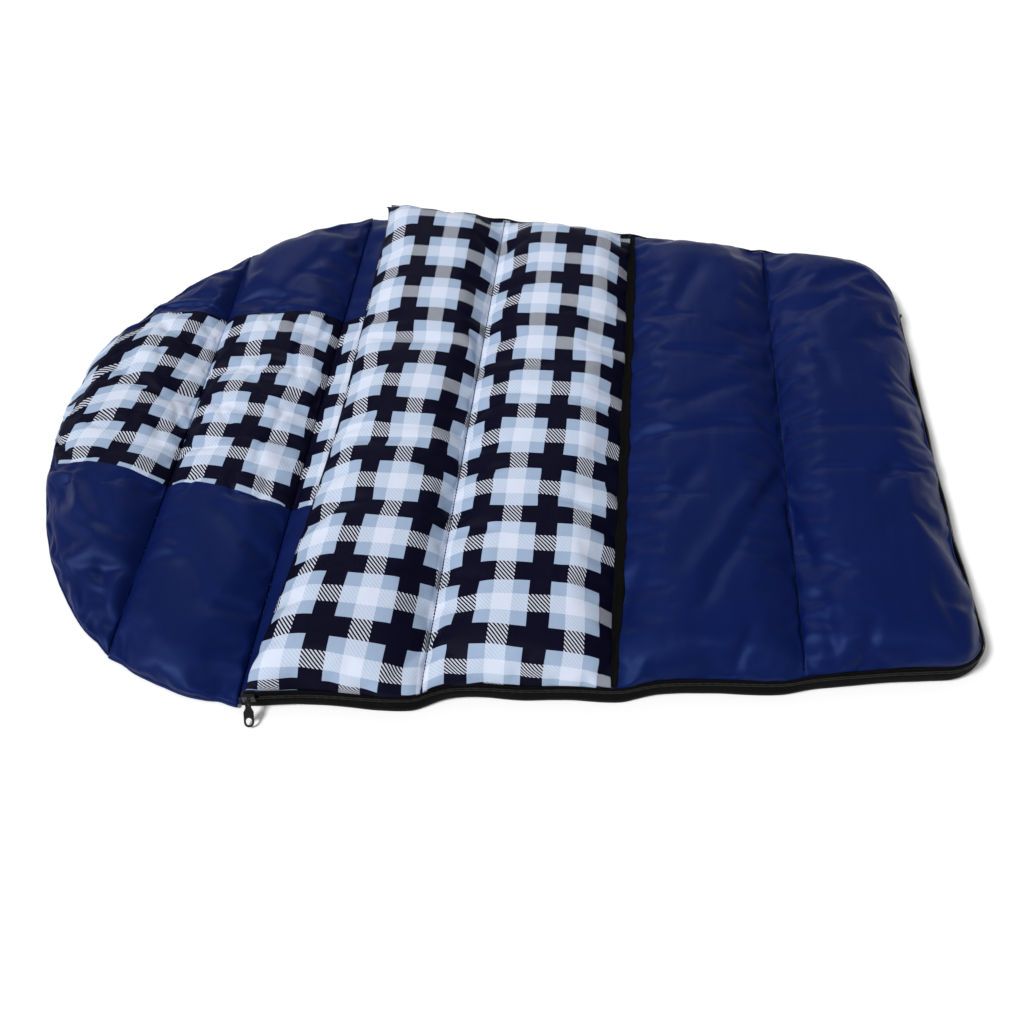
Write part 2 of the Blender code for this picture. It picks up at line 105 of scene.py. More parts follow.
ZIP_Z = middle("zip_slider", 2)
ZIP_START_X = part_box("zip_tape_lower")[0][0] + 0.001
ZIP_END_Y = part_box("zip_tape_lower")[1][1] - CENTRE_Y

# The slider stops at SLIDE_END_X, and the zipped edge is straight from there to the foot's corner.
SLIDE_END_X = FOOT_X - 0.082

# The height of the hood's two hinges, and how far the stitches lie above the cloth.
HINGE_Z = 0.0078
SEAM_LIFT = 0.0006

# The plaid repeats: on the cover, and on the lining, which is cut a little askew. A dark bar crosses PLAID_X.
PLAID_PERIOD = 0.081
HOOD_PLAID_PERIOD = 0.0775
LINING_SKEW = 0.7
PLAID_X = -0.157
CLOTH_STEP = 0.0064


# ---------------------------------------------------------------- plan of the bag

def taper_half(x):
    """Half the body's width at x, before the slant."""
    return MOUTH_HALF - TAPER * max(0.0, x - MOUTH_X)


def reach(x, side):
    """Distance from the middle line to the edge at x, on the near (-1) or far (+1) side."""
    if x >= SEAM_B_X:
        radius = CORNER_RADIUS if side < 0 else FAR_CORNER_RADIUS
        into = min(radius, max(0.0, x - (FOOT_X - radius)))
        return taper_half(x) - radius + math.sqrt(radius**2 - into**2)
    depth = min(1.0, (SEAM_B_X - x) / (SEAM_B_X - TIP_X)) * TIP_SHARE
    power = NEAR_POWER if side < 0 else FAR_POWER
    return MOUTH_HALF * math.sqrt(1 - depth**power)


def strip_edges(x):
    """The plaid strip's near and far edges at x, measured from the middle line."""
    share = max(0.0, min(1.0, (SEAM_B_X - x) / (SEAM_B_X - TIP_X)))
    near = STRIP_NEAR + (STRIP_TIP_NEAR - STRIP_NEAR) * share
    far = STRIP_FAR + (STRIP_TIP_FAR - STRIP_FAR) * share
    return max(near, -STRIP_MOST * reach(x, -1)), min(far, STRIP_MOST * reach(x, 1))


def lateral(x, v, striped):
    """Distance from the middle line at share v of the way to the edge, from -1 to 1."""
    if not striped:
        return v * reach(x, -1 if v < 0 else 1)
    near, far = strip_edges(x)
    knots = [(-1.0, -reach(x, -1)), (-STRIP_SHARE, near), (STRIP_SHARE, far), (1.0, reach(x, 1))]
    for (v0, y0), (v1, y1) in zip(knots, knots[1:]):
        if v <= v1 + 1e-9:
            return y0 + (y1 - y0) * (v - v0) / (v1 - v0)
    return knots[-1][1]


def slanted(x, y):
    """Plan coordinates with the zipped edge drawn in, the foot's slant and the tip's round end."""
    base_x = max(x, SEAM_B_X)
    across = max(0.0, (y + taper_half(base_x)) / (2 * taper_half(base_x)))
    drawn = NEAR_DRAW * max(0.0, 1 - across) * (base_x - MOUTH_X) / BODY_LENGTH
    back = FOOT_SLANT * across * max(0.0, min(1.0, (x - SEAM_1_X) / (FOOT_X - SEAM_1_X)))
    px, py = x - back, y + drawn + back * TAPER * across
    near_half = smooth(1 - 2.5 * across)
    pout = CORNER_POUT * smooth((x - FOOT_X + POUT_LENGTH) / POUT_LENGTH) * near_half
    px += pout
    py += pout * (TAPER + NEAR_DRAW / BODY_LENGTH)
    if x < SEAM_A_X:
        share = (SEAM_A_X - x) / (SEAM_A_X - TIP_X)
        side_share = y / max(0.02, reach(x, -1 if y < 0 else 1))
        px -= TIP_ROUND * share**3 * (1 - min(1.0, side_share**2))
    return px, py + CENTRE_Y


def smooth(share):
    """0 below share 0 and 1 above share 1, with a soft step between."""
    share = max(0.0, min(1.0, share))
    return share * share * (3 - 2 * share)


# The waves of the zipped edge: where each is highest, its spread towards the mouth and the foot, its height.
EDGE_WAVES = (
    (-0.060, 0.080, 0.028, 0.0150),
    (0.060, 0.040, 0.040, 0.0050),
    (0.163, 0.050, 0.028, 0.0085),
    (0.335, 0.060, 0.030, 0.0070),
)
EDGE_GATHER = 0.0020
EDGE_SLACK = 0.0055


def edge_wave(x):
    """How far the zipped edge waves outwards at x. It is straight at both ends of the slider's travel."""
    wave = EDGE_SLACK * smooth((x - 0.02) / 0.10) - EDGE_GATHER
    for at, before, after, height in EDGE_WAVES:
        spread = before if x < at else after
        wave += height * math.exp(-(((x - at) / spread) ** 2))
    return wave * smooth((x - MOUTH_X) / 0.08) * smooth((SLIDE_END_X - x) / 0.09)


def dome(share, power=2.0):
    """0 at share 0, rising steeply, and 1 from share 1 on."""
    share = max(0.0, min(1.0, share))
    return (1 - (1 - share) ** power) ** (1 / power)


def noise_at(x, y, size, seed):
    """Smooth noise between about -1 and 1, with features of the given size."""
    return noise.noise(Vector((x / size, y / size, 10.0 * seed)))


# ---------------------------------------------------------------- creases

# Each crease runs between two places in plan: x, y, x, y, depth, half width. A negative depth is a ridge.
CREASE_FADE = 0.02
COVER_CREASES = [
    (0.338, -0.037, 0.245, -0.247, 0.0040, 0.010), (0.330, -0.030, 0.232, -0.215, -0.0030, 0.012),
    (0.304, -0.264, 0.283, -0.321, 0.0045, 0.008), (0.432, -0.253, 0.415, -0.305, 0.0040, 0.008),
    (0.381, -0.228, 0.391, -0.298, 0.0035, 0.009), (0.474, -0.011, 0.443, -0.068, 0.0035, 0.009),
    (0.167, -0.009, 0.359, 0.030, 0.0035, 0.008), (0.359, 0.026, 0.497, 0.037, 0.0035, 0.008),
    (-0.016, 0.043, 0.155, 0.035, 0.0022, 0.006), (-0.203, -0.037, -0.027, -0.019, 0.0022, 0.006),
    (0.345, -0.087, 0.368, -0.170, 0.0045, 0.008), (0.183, 0.179, 0.232, 0.299, 0.0025, 0.012),
    (0.240, -0.052, 0.196, -0.131, 0.0030, 0.012), (0.403, -0.187, 0.369, -0.224, 0.0035, 0.009),
    (0.177, -0.190, 0.161, -0.272, 0.0025, 0.010), (0.500, -0.180, 0.520, -0.250, 0.0030, 0.010),
    (0.260, 0.120, 0.320, 0.210, 0.0025, 0.012), (0.400, 0.100, 0.372, 0.200, 0.0030, 0.011),
    (0.455, 0.150, 0.480, 0.245, 0.0030, 0.011), (0.210, 0.040, 0.300, 0.095, 0.0025, 0.011),
]
HOOD_CREASES = [
    (-0.520, 0.060, -0.440, 0.025, 0.0050, 0.009), (-0.500, 0.085, -0.415, 0.070, -0.0040, 0.010),
    (-0.470, 0.000, -0.410, 0.040, 0.0045, 0.008), (-0.385, 0.020, -0.300, -0.005, 0.0045, 0.008),
    (-0.340, 0.060, -0.255, 0.030, 0.0040, 0.009), (-0.380, 0.110, -0.300, 0.095, 0.0030, 0.009),
    (-0.500, -0.120, -0.440, -0.200, 0.0035, 0.012), (-0.370, -0.180, -0.300, -0.290, 0.0035, 0.013),
    (-0.350, 0.180, -0.280, 0.330, 0.0035, 0.013), (-0.460, 0.170, -0.420, 0.230, 0.0035, 0.011),
    (-0.330, -0.150, -0.265, -0.210, 0.0030, 0.012), (-0.440, -0.240, -0.420, -0.290, 0.0030, 0.011),
]


def crease_depth(x, y, creases):
    total = 0.0
    for x0, y0, x1, y1, depth, width in creases:
        length = math.hypot(x1 - x0, y1 - y0)
        ux, uy = (x1 - x0) / length, (y1 - y0) / length
        along = (x - x0) * ux + (y - y0) * uy
        if not -CREASE_FADE < along < length + CREASE_FADE:
            continue
        wave = 0.004 * noise_at(along, x0, 0.05, 4.7)
        aside = (x - x0) * -uy + (y - y0) * ux + wave
        fade = smooth((along + CREASE_FADE) / (2 * CREASE_FADE))
        fade *= smooth((length + CREASE_FADE - along) / (2 * CREASE_FADE))
        total += depth * fade * math.exp(-((aside / width) ** 2))
    return total


# ---------------------------------------------------------------- quilts

class Quilt:
    """One padded layer: where its sheets lie over the plan, before the wadding pushes them out.

    seams run across it, the first and last at its ends. crown, valley, under, pinch and edge are heights:
    of the channels, of the upper sheet at the seams, of the lower sheet between and at the seams, and of the
    outline. The cloth rises within roll of the sides, and within ends of a rounded end, or 0 at a seam.
    seed sets its noise, and drift how far its print wanders. zip_drop is how much lower the outline runs
    along the zip. mouth_slant sets the mouth askew, and striped lays the plaid strip down the lining.
    folds are the hinges across its ends: each x, and 1 or -1 for the way the quilt lies from there.
    """

    RIPPLE = 0.0022
    LET_OUT, DRAWN_IN = 0.0020, 0.0060
    SEAM_REACH = 0.018
    GATHER_REACH = 0.024

    def __init__(self, seams, crown, valley, under, pinch, edge, roll, ends, creases, seed, drift,
                 zip_drop=0.0, mouth_slant=False, striped=False, folds=()):
        self.seams = seams
        self.crown, self.valley = crown, valley
        self.under, self.pinch = under, pinch
        self.edge, self.roll, self.ends = edge, roll, ends
        self.creases, self.seed, self.drift, self.striped = creases, seed, drift, striped
        self.zip_drop, self.mouth_slant = zip_drop, mouth_slant
        self.folds = folds

    def nearest_seam(self, x):
        """Distance to the nearest quilting seam, leaving out an end that is rounded."""
        marks = list(self.seams)
        if self.ends[0]:
            marks = marks[1:]
        if self.ends[1]:
            marks = marks[:-1]
        return min(abs(x - m) for m in marks)

    def puff(self, x):
        """How far a channel has risen at x, from 0 at its seams to 1 along its middle."""
        for low, high in zip(self.seams, self.seams[1:]):
            if low - 1e-9 <= x <= high + 1e-9:
                rise = self.ends[0] if low == self.seams[0] and self.ends[0] else 0.46 * (high - low)
                fall = self.ends[1] if high == self.seams[-1] and self.ends[1] else 0.46 * (high - low)
                return min(dome((x - low) / rise, 2.2), dome((high - x) / fall, 2.2))
        return 0.0

    def side(self, x, v):
        """How far the cloth has risen from the side at share v of the way across."""
        edge = 1 if v > 0 else -1
        y = lateral(x, v, self.striped)
        return dome((reach(x, edge) - abs(y)) / self.roll, 2.1)

    def place(self, x, v):
        """Place in plan, with the edge drawn in at seams and let out between them."""
        y = lateral(x, v, self.striped)
        px, py = slanted(x, y)
        pull = self.LET_OUT - self.DRAWN_IN * math.exp(-((self.nearest_seam(x) / self.SEAM_REACH) ** 2))
        pull += 0.0030 * noise_at(x, v, 0.055, self.seed + 3)
        if v < 0 and x > MOUTH_X:
            pull = edge_wave(x)
        if self.mouth_slant:
            fade = smooth((SEAM_1_X - x) / (SEAM_1_X - MOUTH_X))
            px += fade * (0.013 - 0.024 * max(0.0, -v) ** 1.5 - 0.005 * max(0.0, v))
        if self.ends[1]:
            px += 0.0050 * noise_at(y, 0.0, 0.07, self.seed) * smooth((x - FOOT_X + 0.06) / 0.06)
        if self.ends[0] and x < SEAM_A_X:
            px += 0.0050 * noise_at(y, 0.0, 0.05, self.seed) * smooth((TIP_X + 0.06 - x) / 0.06)
        return px, py + math.copysign(pull * abs(v) ** 5, v)

    def edge_at(self, x, v):
        """Height of the outline: lower along the zip and the foot, where the cloth rolls over the tape, but
        hardly so beside the slider's last place."""
        zipped = max(smooth(-v), smooth((x - FOOT_X + 0.08) / 0.08)) * smooth((x - MOUTH_X) / 0.03)
        slider_room = math.exp(-(((x - SLIDE_END_X) / 0.022) ** 2))
        return self.edge - self.zip_drop * zipped * (1 - 0.75 * slider_room)

    def end_height(self, x, v):
        """Height of the outline, where the two sheets meet."""
        at_seam_end = (x == self.seams[0] and not self.ends[0]) or (x == self.seams[-1] and not self.ends[1])
        level, edge = (self.valley + self.pinch) / 2, self.edge_at(x, v)
        return edge + (level - edge) * smooth(self.side(x, v)) if at_seam_end else edge

    def top(self, x, v):
        """Height of the upper sheet."""
        side = self.side(x, v)
        edge = self.edge_at(x, v)
        low = edge + (self.valley - edge) * smooth(side)
        rounded = 1.0
        if self.ends[0]:
            rounded = min(rounded, smooth((x - self.seams[0]) / self.ends[0]))
        if self.ends[1]:
            rounded = min(rounded, smooth((self.seams[-1] - x) / self.ends[1]))
        low = edge + (low - edge) * rounded
        y = lateral(x, v, self.striped)
        swell = 1 + 0.06 * noise_at(x, y, 0.13, self.seed) + 0.05 * noise_at(x, y, 0.06, self.seed + 1)
        z = low + (self.crown - low) * self.puff(x) * side * swell
        near = self.nearest_seam(x)
        fade = math.exp(-near / self.GATHER_REACH) * smooth(near / 0.005) * side
        gather = 0.0026 * noise_at(x * 0.2, y, 0.022, self.seed + 5)
        gather += 0.0020 * noise_at(x * 0.2, y, 0.05, self.seed + 6)
        return z + fade * gather

    def bottom(self, x, v):
        """Height of the lower sheet."""
        near, edge = self.nearest_seam(x), self.edge_at(x, v)
        side = self.side(x, v)
        level = self.pinch + (self.under - self.pinch) * smooth(near / 0.03)
        return min(edge, level) + (level - min(edge, level)) * smooth(2 * side)


def graded(low, high, step, low_fine, high_fine):
    """Stations from low to high about a step apart, closer together at the ends that ask for it."""
    fine = (0.0, 0.0018, 0.0044)
    start = [low + d for d in fine] if low_fine else [low]
    end = [high - d for d in reversed(fine)] if high_fine else [high]
    count = max(2, round((end[0] - start[-1]) / step))
    inner = [start[-1] + (end[0] - start[-1]) * i / count for i in range(1, count)]
    return start + inner + end


def stations(seams, step):
    found = [seams[0]]
    for low, high in zip(seams, seams[1:]):
        found += graded(low, high, step, True, True)[1:]
    return found


def shares(step, striped):
    """Shares of the way across, from -1 to 1, with lines on the strip's edges if it has one."""
    half = MOUTH_HALF
    fine = 0.0044 / half
    if not striped:
        return [y / half for y in graded(-half, half, step, True, True)]
    mark = STRIP_SHARE * half
    outer = graded(mark, half, step, False, True)
    inner = graded(-mark, mark, step, False, False)
    found = [-y for y in reversed(outer)] + inner[1:-1] + outer
    return [y / half for y in found]


def arc_lengths(points):
    total, found = 0.0, [0.0]
    for a, b in zip(points, points[1:]):
        total += math.dist(a, b)
        found.append(total)
    return found


def cloth_across(quilt, x, vs, mid):
    """Distances across the flat cloth from the middle line, for each share."""
    if not quilt.striped:
        rows = [(lateral(x, v, False), quilt.crown * quilt.side(x, v)) for v in vs]
        across = arc_lengths(rows)
        return [a - across[mid] for a in across]
    near, far = strip_edges(x)
    middle_y = (STRIP_NEAR + STRIP_FAR) / 2
    found = []
    for v in vs:
        inside = max(-1.0, min(1.0, v / STRIP_SHARE))
        beyond = lateral(x, v, True) - (far if inside > 0 else near) if abs(v) > STRIP_SHARE else 0.0
        found.append(inside * STRIP_CUT / 2 + beyond + middle_y)
    return found


def build_pad(name, quilt, step, skins, skin_of, start, skew):
    """A closed pad of two sheets that share their outline. Every point keeps its place on the flat
    cloth in the attribute 'flat'. Returns the object, the numbers of its points and its stations."""
    xs, vs = stations(quilt.seams, step), shares(step, quilt.striped)
    nx, ny = len(xs), len(vs)
    mid = min(range(ny), key=lambda j: abs(vs[j]))
    profile = [(x, quilt.edge + (quilt.crown - quilt.edge) * quilt.puff(x)) for x in xs]
    along = arc_lengths(profile)
    anchor = min(range(nx), key=lambda i: abs(xs[i] - start[0]))
    along = [a - along[anchor] + xs[anchor] - start[0] + start[1] for a in along]
    verts, flats, number = [], [], {}
    for i, x in enumerate(xs):
        across = cloth_across(quilt, x, vs, mid)
        for j, v in enumerate(vs):
            on_rim = i in (0, nx - 1) or j in (0, ny - 1)
            px, py = quilt.place(x, v)
            for level in ("top",) if on_rim else ("top", "under"):
                height = quilt.end_height if on_rim else quilt.top if level == "top" else quilt.bottom
                number[i, j, level] = len(verts)
                verts.append((px, py, height(x, v)))
                drift = quilt.drift * (1 + 2 * math.exp(-quilt.nearest_seam(x) / 0.02))
                du = drift * noise_at(x, py, 0.08, quilt.seed + 7) - skew * max(0.0, SEAM_B_X - x) * py
                dv = drift * noise_at(x, py, 0.07, quilt.seed + 8)
                flats.append((along[i] + du, across[j] + dv, 0.0))
            number.setdefault((i, j, "under"), number[i, j, "top"])
    faces, indices = [], []
    for i in range(nx - 1):
        for j in range(ny - 1):
            ring = ((i, j), (i + 1, j), (i + 1, j + 1), (i, j + 1))
            v = (vs[j] + vs[j + 1]) / 2
            faces.append([number[a, b, "top"] for a, b in ring])
            faces.append([number[a, b, "under"] for a, b in reversed(ring)])
            indices += [skin_of(v, "top"), skin_of(v, "under")]
    data = bpy.data.meshes.new(name)
    data.from_pydata(verts, [], faces)
    data.polygons.foreach_set("material_index", indices)
    data.polygons.foreach_set("use_smooth", [True] * len(faces))
    flat = data.attributes.new("flat", "FLOAT_VECTOR", "POINT")
    flat.data.foreach_set("vector", [c for place in flats for c in place])
    for skin in skins:
        data.materials.append(skin)
    obj = bpy.data.objects.new(name, data)
    SCENE.collection.objects.link(obj)
    return obj, number, xs, vs, along


def crease_seams(obj, number, xs, vs, quilt):
    """Keep the quilting seams sharp under subdivision."""
    sharp = set()
    for i, x in enumerate(xs):
        if any(abs(x - s) < 1e-9 for s in quilt.seams) and not (
            (i == 0 and quilt.ends[0]) or (i == len(xs) - 1 and quilt.ends[1])
        ):
            for level in ("top", "under"):
                line = [number[i, j, level] for j in range(len(vs))]
                sharp.update(frozenset(pair) for pair in zip(line, line[1:]))
    crease = obj.data.attributes.new("crease_edge", "FLOAT", "EDGE")
    crease.data.foreach_set("value", [0.9 if frozenset(e.vertices) in sharp else 0.0 for e in obj.data.edges])


FRAMES = 20
PRESSURE = 4.0


def settle(obj, held, slack, cap):
    """Let the wadding push the upper sheet out: a cloth simulation with the seams and the underside held.
    The cloth is cut larger by the slack, and no point moves by more than the cap."""
    group = obj.vertex_groups.new(name="held")
    group.add(sorted(held), 1.0, "REPLACE")
    before = [v.co.copy() for v in obj.data.vertices]
    cloth = obj.modifiers.new("Cloth", "CLOTH")
    settings = cloth.settings
    settings.quality = 5
    settings.mass = 0.3
    settings.tension_stiffness = settings.compression_stiffness = 25
    settings.shear_stiffness = 8
    settings.bending_stiffness = 0.4
    settings.use_pressure = True
    settings.uniform_pressure_force = PRESSURE
    settings.shrink_min = settings.shrink_max = -slack
    settings.vertex_group_mass = "held"
    settings.effector_weights.gravity = 0
    cloth.collision_settings.use_collision = False
    SCENE.frame_start, SCENE.frame_end = 1, FRAMES
    cloth.point_cache.frame_start, cloth.point_cache.frame_end = 1, FRAMES
    for number in range(1, FRAMES + 1):
        SCENE.frame_set(number)
    shaped = obj.evaluated_get(bpy.context.evaluated_depsgraph_get()).data
    after = [v.co.copy() for v in shaped.vertices]
    obj.modifiers.remove(cloth)
    for vert, old, new in zip(obj.data.vertices, before, after):
        move = new - old
        if move.length > cap:
            move *= cap / move.length
        vert.co = old + move
    SCENE.frame_set(1)


def wrinkle(obj, quilt, tops):
    """Divide the cloth finely, then press the sharp creases and fine wrinkles into its upper sheet."""
    weight = obj.data.attributes.new("upper", "FLOAT", "POINT")
    weight.data.foreach_set("value", [1.0 if i in tops else 0.0 for i in range(len(obj.data.vertices))])
    subdivide = obj.modifiers.new("Subdivide", "SUBSURF")
    subdivide.levels = subdivide.render_levels = 1
    fine = bpy.data.meshes.new_from_object(obj.evaluated_get(bpy.context.evaluated_depsgraph_get()))
    obj.modifiers.remove(subdivide)
    fine.name = obj.name
    obj.data = fine
    upper = [d.value for d in fine.attributes["upper"].data]
    normals = [v.normal.copy() for v in fine.vertices]
    for vert, share, normal in zip(fine.vertices, upper, normals):
        if share > 0:
            x, y, z = vert.co
            depth = crease_depth(x, y, quilt.creases)
            ripple = noise.noise(Vector((x / 0.020, y / 0.045, z / 0.03 + 3 * quilt.seed)))
            depth += quilt.RIPPLE * max(0.0, ripple) ** 2 * (0.4 + noise_at(x, y, 0.12, quilt.seed + 20))
            if quilt.striped and STRIP_NEAR < y - CENTRE_Y < STRIP_FAR:
                fold = abs(noise_at(x + 0.5 * y, y - 0.3 * x, 0.060, 31))
                depth += 0.0030 * math.exp(-((fold / 0.10) ** 2)) * smooth((SEAM_B_X + 0.02 - x) / 0.03)
            vert.co = vert.co - normal * depth * share
    clear_hinges(fine, quilt)


def clear_hinges(mesh, quilt):
    """Lean the cloth back to 45 degrees beside each hinge, so that two quilts can fold up together."""
    for fold_x, towards in quilt.folds:
        for vert in mesh.vertices:
            room = max(1e-5, (vert.co.x - fold_x) * towards)
            height = vert.co.z - HINGE_Z
            if height > 0 and room < 0.06:
                vert.co.z = HINGE_Z + (height**-6 + room**-6) ** (-1 / 6)


# ---------------------------------------------------------------- materials

class Nodes:
    """A small helper for building a material's nodes."""

    def __init__(self, name):
        self.material = bpy.data.materials.new(name)
        self.material.use_nodes = True
        self.tree = self.material.node_tree
        self.shader = self.tree.nodes["Principled BSDF"]

    def add(self, kind, inputs=None, **settings):
        node = self.tree.nodes.new(kind)
        for key, value in settings.items():
            setattr(node, key, value)
        for key, value in (inputs or {}).items():
            self.link(value, node.inputs[key])
        return node

    def link(self, value, socket):
        if isinstance(value, bpy.types.NodeSocket):
            self.tree.links.new(value, socket)
        elif isinstance(value, bpy.types.Node):
            self.tree.links.new(value.outputs[0], socket)
        else:
            socket.default_value = value

    def math(self, operation, *values):
        node = self.add("ShaderNodeMath", operation=operation)
        for socket, value in zip(node.inputs, values):
            self.link(value, socket)
        return node.outputs[0]

    def scaled(self, value, factor, offset):
        """value * factor + offset."""
        return self.math("ADD", self.math("MULTIPLY", value, factor), offset)

    def mix(self, factor, a, b):
        node = self.add("ShaderNodeMix", data_type="RGBA")
        self.link(factor, node.inputs["Factor"])
        self.link(a, node.inputs["A"])
        self.link(b, node.inputs["B"])
        return node.outputs["Result"]

    def flat(self):
        """The place on the flat cloth: the vector, and its x and y."""
        vector = self.add("ShaderNodeAttribute", attribute_name="flat").outputs["Vector"]
        split = self.add("ShaderNodeSeparateXYZ", {"Vector": vector})
        return vector, split.outputs["X"], split.outputs["Y"]

    def bump(self, height, strength, distance, below=None):
        node = self.add("ShaderNodeBump", {"Height": height, "Strength": strength, "Distance": distance})
        if below is not None:
            self.link(below, node.inputs["Normal"])
        return node.outputs["Normal"]

    def weave(self, x, y, pitch):
        """Height of a plain weave of threads a pitch apart."""
        turn = 2 * math.pi / pitch
        warp = self.math("SINE", self.math("MULTIPLY", x, turn))
        weft = self.math("SINE", self.math("MULTIPLY", y, turn))
        return self.math("MULTIPLY", warp, weft)

    def noise(self, vector, scale, detail=3.0, stretch=None):
        if stretch:
            longer = self.add("ShaderNodeVectorMath", {0: vector, 1: stretch}, operation="MULTIPLY")
            vector = longer.outputs[0]
        node = self.add("ShaderNodeTexNoise", {"Vector": vector, "Scale": scale, "Detail": detail})
        return node.outputs["Fac"]


def band(nodes, coordinate, period, centre, share):
    """1 inside a stripe of the given share of the period, 0 outside."""
    turns = nodes.math("ADD", nodes.math("DIVIDE", coordinate, period), 10.5 - centre / period)
    phase = nodes.math("FRACT", turns)
    off = nodes.math("ABSOLUTE", nodes.math("SUBTRACT", phase, 0.5))
    return nodes.math("LESS_THAN", off, share / 2)


BAR_SHARE, WHITE_SHARE = 0.298, 0.265
HATCH_PITCH, HATCH_SHARE, HATCH_SLOPE = 0.0033, 0.47, math.radians(48)
PALE, LIGHT, BRIGHT = (0.30, 0.39, 0.54, 1), (0.44, 0.52, 0.66, 1), (0.60, 0.65, 0.78, 1)
DARK, THREAD = (0.0014, 0.0012, 0.0110, 1), (0.54, 0.57, 0.66, 1)


def plaid_material(name, period, dark_x, dark_y):
    """Dark bars both ways on pale blue, with white bands midway that turn to a twill hatch on the bars."""
    nodes = Nodes(name)
    vector, x, y = nodes.flat()
    wobble = nodes.noise(vector, 30.0, 1.0)
    shift = nodes.math("MULTIPLY", nodes.math("SUBTRACT", wobble, 0.5), 0.0015)
    x, y = nodes.math("ADD", x, shift), nodes.math("ADD", y, shift)
    bars_x = band(nodes, x, period, dark_x, BAR_SHARE)
    bars_y = band(nodes, y, period, dark_y, BAR_SHARE)
    white_x = band(nodes, x, period, dark_x + period / 2, WHITE_SHARE)
    white_y = band(nodes, y, period, dark_y + period / 2, WHITE_SHARE)
    white = nodes.math("MAXIMUM", white_x, white_y)
    ground = nodes.mix(white, PALE, LIGHT)
    ground = nodes.mix(nodes.math("MULTIPLY", white_x, white_y), ground, BRIGHT)
    rise = nodes.math("MULTIPLY", x, math.sin(HATCH_SLOPE))
    diagonal = nodes.math("ADD", rise, nodes.math("MULTIPLY", y, math.cos(HATCH_SLOPE)))
    hatched = nodes.math("MULTIPLY", band(nodes, diagonal, HATCH_PITCH, 0.0, HATCH_SHARE), white)
    ground = nodes.mix(nodes.math("MULTIPLY", hatched, 0.5), ground, BRIGHT)
    bars = nodes.mix(hatched, DARK, THREAD)
    colour = nodes.mix(nodes.math("MAXIMUM", bars_x, bars_y), ground, bars)
    nodes.link(colour, nodes.shader.inputs["Base Color"])
    shade = nodes.noise(vector, 60.0, 4.0)
    nodes.link(nodes.scaled(shade, 0.2, 0.42), nodes.shader.inputs["Roughness"])
    creases = nodes.noise(vector, 26.0, 5.0, (1.0, 0.35, 1.0))
    soft = nodes.bump(creases, 0.35, 0.004)
    nodes.link(nodes.bump(nodes.weave(x, y, 0.0011), 0.25, 0.0002, soft), nodes.shader.inputs["Normal"])
    nodes.shader.inputs["Specular IOR Level"].default_value = 0.07
    return nodes.material


def satin_material(name, colour):
    """Smooth woven nylon with a soft sheen and fine creases."""
    nodes = Nodes(name)
    vector, x, y = nodes.flat()
    patch = nodes.noise(vector, 9.0, 3.0)
    deep = tuple(c * 0.8 for c in colour) + (1,)
    pale = tuple(c * 1.25 for c in colour) + (1,)
    nodes.link(nodes.mix(patch, deep, pale), nodes.shader.inputs["Base Color"])
    streaks = nodes.noise(vector, 34.0, 4.0, (1.0, 0.3, 1.0))
    nodes.link(nodes.scaled(streaks, 0.16, 0.36), nodes.shader.inputs["Roughness"])
    creases = nodes.noise(vector, 22.0, 5.0, (1.0, 0.4, 1.0))
    soft = nodes.bump(creases, 0.42, 0.005)
    nodes.link(nodes.bump(nodes.weave(x, y, 0.0009), 0.2, 0.00015, soft), nodes.shader.inputs["Normal"])
    nodes.shader.inputs["Specular IOR Level"].default_value = 0.26
    nodes.shader.inputs["Specular Tint"].default_value = (0.26, 0.44, 1.0, 1)
    nodes.shader.inputs["Sheen Weight"].default_value = 0.015
    nodes.shader.inputs["Sheen Tint"].default_value = (0.2, 0.3, 0.9, 1)
    return nodes.material


def tape_material(name):
    """Black woven tape with a fine rib."""
    nodes = Nodes(name)
    place = nodes.add("ShaderNodeTexCoord").outputs["Object"]
    split = nodes.add("ShaderNodeSeparateXYZ", {"Vector": place})
    rib = nodes.weave(split.outputs["X"], split.outputs["Z"], 0.0012)
    mottle = nodes.noise(place, 220.0, 3.0)
    colour = nodes.mix(mottle, (0.0010, 0.0010, 0.0011, 1), (0.0034, 0.0032, 0.0034, 1))
    nodes.link(colour, nodes.shader.inputs["Base Color"])
    nodes.link(nodes.bump(rib, 0.5, 0.0003), nodes.shader.inputs["Normal"])
    nodes.shader.inputs["Roughness"].default_value = 0.72
    nodes.shader.inputs["Specular IOR Level"].default_value = 0.06
    return nodes.material


def hard_material(name, colour, roughness, metallic):
    """Enamelled metal or moulded nylon, with worn spots."""
    nodes = Nodes(name)
    place = nodes.add("ShaderNodeTexCoord").outputs["Object"]
    wear = nodes.noise(place, 420.0, 4.0)
    worn = nodes.math("GREATER_THAN", wear, 0.66)
    bare = tuple(min(1, c * 3 + 0.02) for c in colour)
    nodes.link(nodes.mix(worn, (*colour, 1), (*bare, 1)), nodes.shader.inputs["Base Color"])
    nodes.link(nodes.scaled(wear, 0.2, roughness - 0.1), nodes.shader.inputs["Roughness"])
    nodes.shader.inputs["Metallic"].default_value = metallic
    nodes.link(nodes.bump(wear, 0.1, 0.0002), nodes.shader.inputs["Normal"])
    return nodes.material


# ---------------------------------------------------------------- small pieces

def tube(name, points, radius, skin, sides=6):
    """A round cord through the points, closed at both ends."""
    data = bpy.data.curves.new(name, "CURVE")
    data.dimensions = "3D"
    data.bevel_depth = radius
    data.bevel_resolution = max(0, (sides - 4) // 2)
    data.use_fill_caps = True
    spline = data.splines.new("POLY")
    spline.points.add(len(points) - 1)
    for point, place in zip(spline.points, points):
        point.co = (*place, 1.0)
    data.materials.append(skin)
    obj = bpy.data.objects.new(name, data)
    SCENE.collection.objects.link(obj)
    return obj


